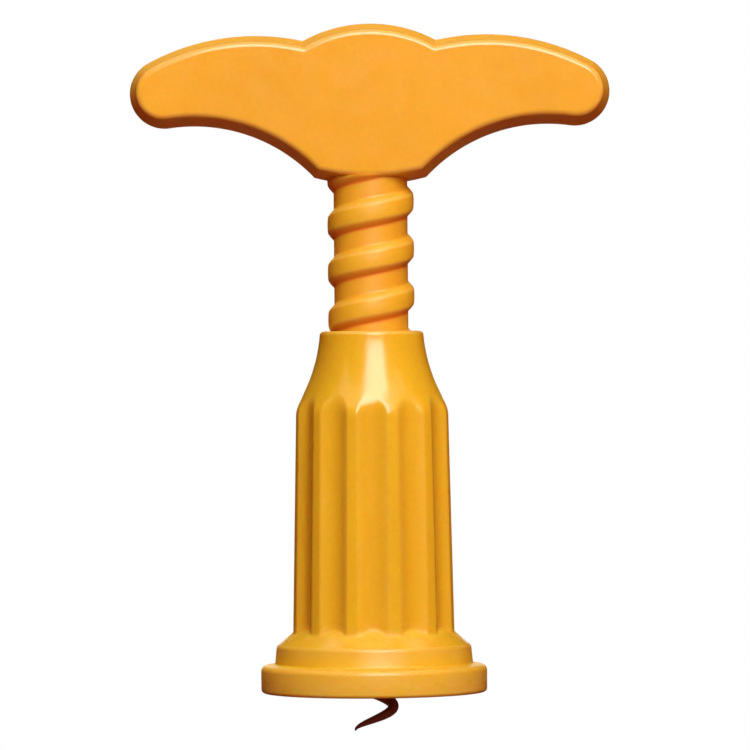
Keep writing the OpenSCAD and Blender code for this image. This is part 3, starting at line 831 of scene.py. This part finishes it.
def wire_tree():
    """Geometry tree that draws a wire along a curve, as thick as the curve's radius says."""
    nodes, given = geometry_tree("wire", ("Geometry", "Path"), ("Int", "Sides"))
    ring = nodes.add("GeometryNodeCurvePrimitiveCircle", Resolution=given["Sides"], Radius=1.0)
    tube = nodes.add("GeometryNodeCurveToMesh", Curve=given["Path"], Profile_Curve=ring,
                     Scale=nodes.add("GeometryNodeInputRadius"), Fill_Caps=True)
    return close_tree(nodes, given, tube)


class CORKSCREW_OT_add_worm(bpy.types.Operator):
    """Wind the steel worm with its ground point"""
    bl_idname = "corkscrew.add_worm"
    bl_label = "Worm"

    def execute(self, context):
        settings = context.scene.corkscrew
        line = worm_path(settings.worm, settings.screw.pitch)
        path = bpy.data.curves.new("worm_path", "CURVE")
        path.dimensions = "3D"
        spline = path.splines.new("POLY")
        spline.points.add(len(line) - 1)
        for point, (x, y, z, thick) in zip(spline.points, line):
            point.co = (x, y, z, 1.0)
            point.radius = thick
        worm = apply_tree(link("worm_path", path), wire_tree(), "worm_wire", {
            "Sides": WIRE_SIDES, "Material": coated_wire(settings.finish)})
        finish_piece(worm, "screw", ["worm"])
        return {"FINISHED"}


def foot_rise(handle, x, inset):
    """Height of the handle's crowned foot at x, on an outline that is drawn in by an inset."""
    return handle.foot_crown - math.sqrt((handle.foot_crown - inset) ** 2 - x * x)


def head_height(handle, screw, foot):
    """Height of the seat that the spindle's head rests on inside the handle."""
    cavity = handle.thickness / 2 - handle.wall
    inset = handle.wall + cavity * math.tan(handle.draft)
    return foot + foot_rise(handle, screw.head_width / 2, inset) + PLAY


# Steps along the short, the long and the tightly bent arcs of the handle's outline
SHORT_STEPS, LONG_STEPS, TIP_STEPS = 18, 44, 40


def half_outline(handle, inset):
    """The right half of the handle's outline, drawn in by an inset, from its foot to its dome."""
    foot_c = Vector((0, handle.foot_crown))
    corner = Vector((handle.foot_half, foot_rise(handle, handle.foot_half, 0)))
    tip_c = Vector((handle.span / 2 - handle.tip_radius, handle.tip_height))
    hollow_c = crossing(tip_c, handle.hollow_radius + handle.tip_radius, corner, handle.hollow_radius)
    crown_z = handle.crown_height - handle.crown_radius
    reach = math.sqrt((handle.crown_radius - handle.tip_radius) ** 2 - (tip_c.y - crown_z) ** 2)
    crown_c = Vector((tip_c.x - reach, crown_z))
    dome_c = Vector((0, handle.height - handle.dome_radius))
    foot_r, hollow_r = handle.foot_crown - inset, handle.hollow_radius + inset
    crown_r, dome_r = handle.crown_radius - inset, handle.dome_radius - inset
    corner = crossing(hollow_c, hollow_r, foot_c, foot_r)
    notch = crossing(dome_c, dome_r, crown_c, crown_r)
    under, over = bearing(tip_c - hollow_c), bearing(tip_c - crown_c)
    return ([Vector((0, inset))]
            + arc(foot_c, foot_r, -QUARTER, bearing(corner - foot_c), SHORT_STEPS)
            + arc(hollow_c, hollow_r, bearing(corner - hollow_c), under, LONG_STEPS)
            + arc(tip_c, handle.tip_radius - inset, under - math.pi, over, TIP_STEPS)
            + arc(crown_c, crown_r, over, bearing(notch - crown_c), LONG_STEPS)
            + arc(dome_c, dome_r, bearing(notch - dome_c), QUARTER, SHORT_STEPS))


# Rings of points on a shell: insets on the face, steps round its edge, the distance below that edge,
# shares of the wall's depth, the seam's rings in widths of the seam, and how worn the seam is
FACE_INSETS = (1.2 * MM, 0.3 * MM)
EDGE_STEPS = 10
BELOW_EDGE = 0.3 * MM
WALL_SHARES = (0.6, 0.2)
SEAM_LOW, SEAM_HIGH, SEAM_RUB = 0.4, 2, 0.3
# From the edge down to where the side walls are satin
SATIN_START = 0.1 * MM


def shell_form(handle, foot):
    """The front shell as a mesh: a rounded face, side walls to the parting plane, and a hollow inside."""
    form = bmesh.new()
    rub = form.verts.layers.float.new("rub")
    satin = form.verts.layers.float.new("satin")
    half, seam, radius = handle.thickness / 2, handle.seam, handle.edge_radius
    lean = math.tan(handle.draft)
    edge_y = half - radius
    wall_y = edge_y + radius * math.sin(handle.draft)
    edge_inset = wall_y * lean + radius * math.cos(handle.draft)
    cavity = half - handle.wall
    rings = [(edge_inset + inset, half, 0) for inset in FACE_INSETS]
    for i in range(EDGE_STEPS + 1):
        a = QUARTER - (QUARTER - handle.draft) * i / EDGE_STEPS
        rings.append((edge_inset - radius * math.cos(a), edge_y + radius * math.sin(a),
                      math.sin(math.pi * i / EDGE_STEPS)))
    depths = [wall_y - BELOW_EDGE] + [wall_y * share for share in WALL_SHARES] + [seam * SEAM_HIGH]
    rings += [(y * lean, y, 0) for y in depths]
    rings += [(seam * SEAM_LOW, seam * SEAM_LOW, SEAM_RUB), (seam, 0, 0), (handle.wall, 0, 0),
              (handle.wall + cavity * lean, cavity, 0)]
    loops = []
    for inset, depth, edge in rings:
        right = half_outline(handle, inset)
        outline = right + [Vector((-p.x, p.y)) for p in reversed(right[1:-1])]
        loop = [form.verts.new((p.x, -depth, foot + p.y)) for p in outline]
        for vert in loop:
            vert[rub] = edge
            vert[satin] = float(depth < wall_y - SATIN_START)
        loops.append(loop)
    bridge(form, loops)
    last = len(loops[0]) // 2
    for loop, turned in ((loops[0], False), (loops[-1], True)):
        for i in range(last // 2):
            right = [loop[i], loop[i + 1], loop[last - i - 1], loop[last - i]]
            left = [loop[-i - 1], loop[-i], loop[last + i], loop[last + i + 1]]
            for face in (right, left):
                face = [v for k, v in enumerate(face) if v is not face[k - 1]]
                form.faces.new(reversed(face) if turned else face)
    bmesh.ops.recalc_face_normals(form, faces=form.faces[:])
    return form


# How far ribs and bosses reach into the shell, ribs into their seat and the neck's hole beyond it,
# and how far the socket's cutter stands out below the handle
SHELL_LAP, RIB_LAP, HOLE_LAP, CUTTER_OUT = 0.25 * MM, 0.4 * MM, 0.3 * MM, 1 * MM
# Thickness of the ribs, place of the inner bosses, and of the outer ones in tip radii from the tips
RIB, INNER_BOSS, OUTER_BOSS = 1.6 * MM, 20 * MM, 1.5
BOSS_RADIUS, PEG_RADIUS, PEG_LENGTH, PEG_MIDDLE = 2.6 * MM, 1.5 * MM, 3.4 * MM, 1.2 * MM


def add_bosses(form, handle, screw, foot, pegs):
    """Adds the ribs beside the spindle's head, its seat and the peg bosses inside the front shell."""
    depth = handle.thickness / 2 - handle.wall + SHELL_LAP
    head = head_height(handle, screw, foot)
    rib = screw.head_width / 2 + PLAY
    wide = rib + RIB
    parting = -HAIR / 2
    low = foot + foot_rise(handle, wide, depth * math.tan(handle.draft)) + PLAY / 2
    add_block(form, (-wide, -depth, low), (wide, parting, head))
    for side in (-1, 1):
        x0, x1 = sorted((side * rib, side * wide))
        add_block(form, (x0, -depth, head - RIB_LAP), (x1, parting, head + screw.head_height))
        for x in (INNER_BOSS, handle.span / 2 - OUTER_BOSS * handle.tip_radius):
            middle = foot + handle.tip_height
            add_pin(form, (side * x, -depth / 2, middle), BOSS_RADIUS, depth - HAIR)
            if pegs:
                add_pin(form, (side * x, PEG_MIDDLE, middle), PEG_RADIUS, PEG_LENGTH)


def cut_socket(shell, screw, handle, foot):
    """Cuts the spindle's socket and neck hole into a shell's foot."""
    cutters = []
    hole_top = head_height(handle, screw, foot) + HOLE_LAP
    for radius, low, high in ((screw.core_radius + PLAY, foot - CUTTER_OUT, foot + handle.socket_depth),
                              (screw.spigot_radius + PLAY, foot, hole_top)):
        form = bmesh.new()
        add_post(form, radius, low, high, HAIR / 2, sides=96)
        cutters.append(link("socket_cutter", write_form(form, bpy.data.meshes.new("socket_cutter"))))
        cut = shell.modifiers.new("socket", "BOOLEAN")
        cut.operation = "DIFFERENCE"
        cut.solver = "EXACT"
        cut.object = cutters[-1]
    name = shell.name
    shell.name = name + "_raw"
    result = plain_mesh(shell, name)
    for cutter in cutters:
        bpy.data.objects.remove(cutter)
    form = form_of(result.data)
    bmesh.ops.remove_doubles(form, verts=form.verts[:], dist=1.5 * JOIN)
    bmesh.ops.dissolve_degenerate(form, dist=JOIN, edges=form.edges[:])
    write_form(form, result.data)
    return result


class CORKSCREW_OT_add_handle(bpy.types.Operator):
    """Build the two shells of the wing handle"""
    bl_idname = "corkscrew.add_handle"
    bl_label = "Handle shells"

    def execute(self, context):
        settings = context.scene.corkscrew
        handle, screw = settings.handle, settings.screw
        foot = HANDLE_TOP.z - handle.height
        plastic = orange_plastic("moulded_styrene_handle", settings.finish.handle)
        for name, node, front in (("handle_front", "handle_front_shell", True),
                                  ("handle_rear", "handle_rear_shell", False)):
            form = shell_form(handle, foot)
            add_bosses(form, handle, screw, foot, front)
            if not front:
                bmesh.ops.scale(form, vec=(1, -1, 1), verts=form.verts[:])
                bmesh.ops.reverse_faces(form, faces=form.faces[:])
            mesh = write_form(form, bpy.data.meshes.new(name))
            mesh.materials.append(plastic)
            shell = cut_socket(link(name, mesh), screw, handle, foot)
            finish_piece(shell, "screw", [node])
        return {"FINISHED"}


class CORKSCREW_OT_finish_fittings(bpy.types.Operator):
    """Give the nut, the stop collar and the ferrule their materials"""
    bl_idname = "corkscrew.finish_fittings"
    bl_label = "Nut, collar and ferrule"

    def execute(self, context):
        finish = context.scene.corkscrew.finish
        plate = zinc_plate(finish)
        for node, material in (("drive_nut", acetal(finish)), ("stop_collar", plate),
                               ("worm_ferrule", plate)):
            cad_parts[node].material_slots[0].material = material
        return {"FINISHED"}


# Half the floor's width, and how near and how far from its middle it runs out to plain white
FLOOR_HALF = 6.0
SHADOW_NEAR, SHADOW_FAR = 0.06, 0.35
# Side flags: their ends across and along the view, and their top
FLAG_ENDS = ((0.12, 0.5), (0.5, 0.0), (1.5, -2.0))
FLAG_TOP = 0.6
# Other flags: half width, and the two places along and up that each runs between
BACK_FLAG = (0.5, (0.5, 0.2), (0.3, FLAG_TOP))
FLOOR_FLAG_HALF, FLOOR_FLAG_ENDS, FLOOR_FLAG_RISE = 1.5, (-2.0, 0.5), 1 * MM
WALL_FLAG_HALF, WALL_FLAG_PLACE, WALL_FLAG_TOP = 2.5, -2.0, 2.5
# The place that the softboxes are turned to
LAMP_AIM = (0.0, 0.0, 0.07)
# Softboxes: name, place, size, settings for the power and the colour, and whether gloss shows them
SOFTBOXES = (("key_softbox", (0.15, -1.02, 0.8), (0.8, 0.95), "key", "backdrop", True),
             ("left_softbox", (-0.8, -0.9, 0.6), (1.0, 1.0), "fill_left", "fill_colour", False),
             ("right_softbox", (1.0, -0.5, 0.5), (1.0, 1.0), "fill_right", "fill_colour", False),
             ("back_softbox", (-0.3, 1.3, 0.75), (1.0, 1.0), "back", "backdrop", False))


def seen_directly(nodes):
    """One for rays from the camera, and for those that a gloss or a clear body passes on."""
    camera, gloss, clear = (nodes.add("ShaderNodeLightPath", out=f"Is {ray} Ray")
                            for ray in ("Camera", "Glossy", "Transmission"))
    return camera.run("MAXIMUM", gloss).run("MAXIMUM", clear)


def pale_floor(stage):
    """Pale paper floor: it keeps the shadow near the object and runs out to plain white.

    From below it is clear, so that the bell's mouth can be looked into.
    """
    nodes, place = new_material("pale_paper")
    relief = nodes.bump(nodes.noise(place, 2 * MM, 3.0), 0.05, 0.05 * MM)
    seen = seen_directly(nodes)
    tint = nodes.mix(seen, stage.floor, stage.backdrop)
    paper = nodes.add("ShaderNodeBsdfDiffuse", Color=tint, Normal=relief)
    white = nodes.add("ShaderNodeEmission", Color=stage.backdrop, Strength=1.0)
    far = nodes.add("ShaderNodeVectorMath", {"operation": "LENGTH"}, out="Value", _0=place)
    plain = seen * nodes.ranged(far, 0.9, 1.0, SHADOW_NEAR, SHADOW_FAR)
    above = nodes.add("ShaderNodeMixShader", _0=plain, _1=paper, _2=white)
    back = nodes.add("ShaderNodeNewGeometry", out="Backfacing")
    clear = nodes.add("ShaderNodeBsdfTransparent")
    return nodes.surface(nodes.add("ShaderNodeMixShader", _0=back, _1=above, _2=clear))


def flag_cloth():
    """Black felt of the flags that keep the white room out of the gloss at the edges."""
    nodes, place = new_material("black_felt")
    nap = nodes.ranged(nodes.noise(place, 1.5 * MM), 0.006, 0.014)
    return nodes.surface(nodes.add("ShaderNodeBsdfDiffuse", Color=nap))


def across_view(half, near, far):
    """Corners of a sheet that lies across the view between two places along and up."""
    return [(-half, *near), (half, *near), (half, *far), (-half, *far)]


def add_sheets(name, sheets, material):
    """A studio object of sheets with four corners each."""
    mesh = bpy.data.meshes.new(name)
    corners = sum(sheets, [])
    mesh.from_pydata(corners, [], [tuple(range(i, i + 4)) for i in range(0, len(corners), 4)])
    mesh.materials.append(material)
    return link(name, mesh)


def add_softbox(stage, name, place, size, power, tint, shown):
    """A soft light of a width and height at a place, turned to the object."""
    data = bpy.data.lights.new(name, "AREA")
    data.shape = "RECTANGLE"
    data.size, data.size_y = size
    data.energy = getattr(stage, power)
    data.color = getattr(stage, tint)[:3]
    lamp = link(name, data)
    lamp.location = place
    lamp.rotation_euler = (Vector(LAMP_AIM) - Vector(place)).to_track_quat("-Z", "Y").to_euler()
    lamp.visible_glossy = shown


class CORKSCREW_OT_set_stage(bpy.types.Operator):
    """Set the floor, the soft lights, the world and the camera"""
    bl_idname = "corkscrew.set_stage"
    bl_label = "Studio"

    def execute(self, context):
        scene, stage = context.scene, context.scene.corkscrew.stage
        low = WORM_LOW.z - stage.drop
        floor = across_view(FLOOR_HALF, (-FLOOR_HALF, low), (FLOOR_HALF, low))
        add_sheets("studio_floor", [floor], pale_floor(stage))

        sheets = []
        for side in (-1, 1):
            for (x0, y0), (x1, y1) in zip(FLAG_ENDS, FLAG_ENDS[1:]):
                sheets.append([(side * x0, y0, low), (side * x0, y0, FLAG_TOP), (side * x1, y1, FLAG_TOP),
                               (side * x1, y1, low)])
        sheets += [across_view(*BACK_FLAG),
                   across_view(FLOOR_FLAG_HALF, *((y, low + FLOOR_FLAG_RISE) for y in FLOOR_FLAG_ENDS)),
                   across_view(WALL_FLAG_HALF, (WALL_FLAG_PLACE, low), (WALL_FLAG_PLACE, WALL_FLAG_TOP))]
        flags = add_sheets("black_flags", sheets, flag_cloth())
        flags.visible_camera = flags.visible_diffuse = flags.visible_shadow = False
        flags.visible_transmission = False

        world = bpy.data.worlds.new("studio")
        world.use_nodes = True
        world.node_tree.nodes.clear()
        nodes = Nodes(world.node_tree)
        soft = nodes.add("ShaderNodeBackground", Color=stage.room, Strength=stage.ambient)
        white = nodes.add("ShaderNodeBackground", Color=stage.backdrop, Strength=1.0)
        mixed = nodes.add("ShaderNodeMixShader", _0=seen_directly(nodes), _1=soft, _2=white)
        nodes.add("ShaderNodeOutputWorld", Surface=mixed)
        scene.world = world
        for row in SOFTBOXES:
            add_softbox(stage, *row)

        camera = bpy.data.cameras.new("photo_camera")
        camera.sensor_width = 36.0
        camera.lens = stage.lens
        camera.clip_start, camera.clip_end = 0.01, 50.0
        eye = link("photo_camera", camera)
        eye.location = (0.0, -stage.distance, stage.camera_height)
        look = Vector((stage.aim_x, 0.0, stage.aim_z)) - eye.location
        turn = look.to_track_quat("-Z", "Y") @ Quaternion((0, 0, 1), stage.roll)
        eye.rotation_euler = turn.to_euler()
        scene.camera = eye
        scene.view_settings.view_transform = "Standard"
        return {"FINISHED"}


PIECES = (CORKSCREW_OT_add_bell, CORKSCREW_OT_add_spindle, CORKSCREW_OT_add_worm, CORKSCREW_OT_add_handle,
          CORKSCREW_OT_finish_fittings, CORKSCREW_OT_set_stage)


class CORKSCREW_PT_sidebar(bpy.types.Panel):
    """The corkscrew's pieces and sizes"""
    bl_label = "T-handle corkscrew"
    bl_space_type = "VIEW_3D"
    bl_region_type = "UI"
    bl_category = "Corkscrew"

    def draw(self, context):
        for operator in PIECES:
            self.layout.operator(operator.bl_idname)
        settings = context.scene.corkscrew
        for title in CorkscrewSettings.__annotations__:
            box = self.layout.box()
            box.label(text=title.capitalize())
            group = getattr(settings, title)
            for key in group.__annotations__:
                box.prop(group, key)


CLASSES = (BellSizes, ScrewSizes, WormSizes, HandleSizes, FinishSettings, StageSettings, CorkscrewSettings,
           *PIECES, CORKSCREW_PT_sidebar)


def register():
    for item in CLASSES:
        bpy.utils.register_class(item)
    bpy.types.Scene.corkscrew = PointerProperty(type=CorkscrewSettings)


def unregister():
    del bpy.types.Scene.corkscrew
    for item in reversed(CLASSES):
        bpy.utils.unregister_class(item)


def main():
    register()
    bpy.ops.corkscrew.add_bell()
    bpy.ops.corkscrew.add_spindle()
    bpy.ops.corkscrew.add_worm()
    bpy.ops.corkscrew.add_handle()
    bpy.ops.corkscrew.finish_fittings()
    bpy.ops.corkscrew.set_stage()


if __name__ == "__main__":
    main()
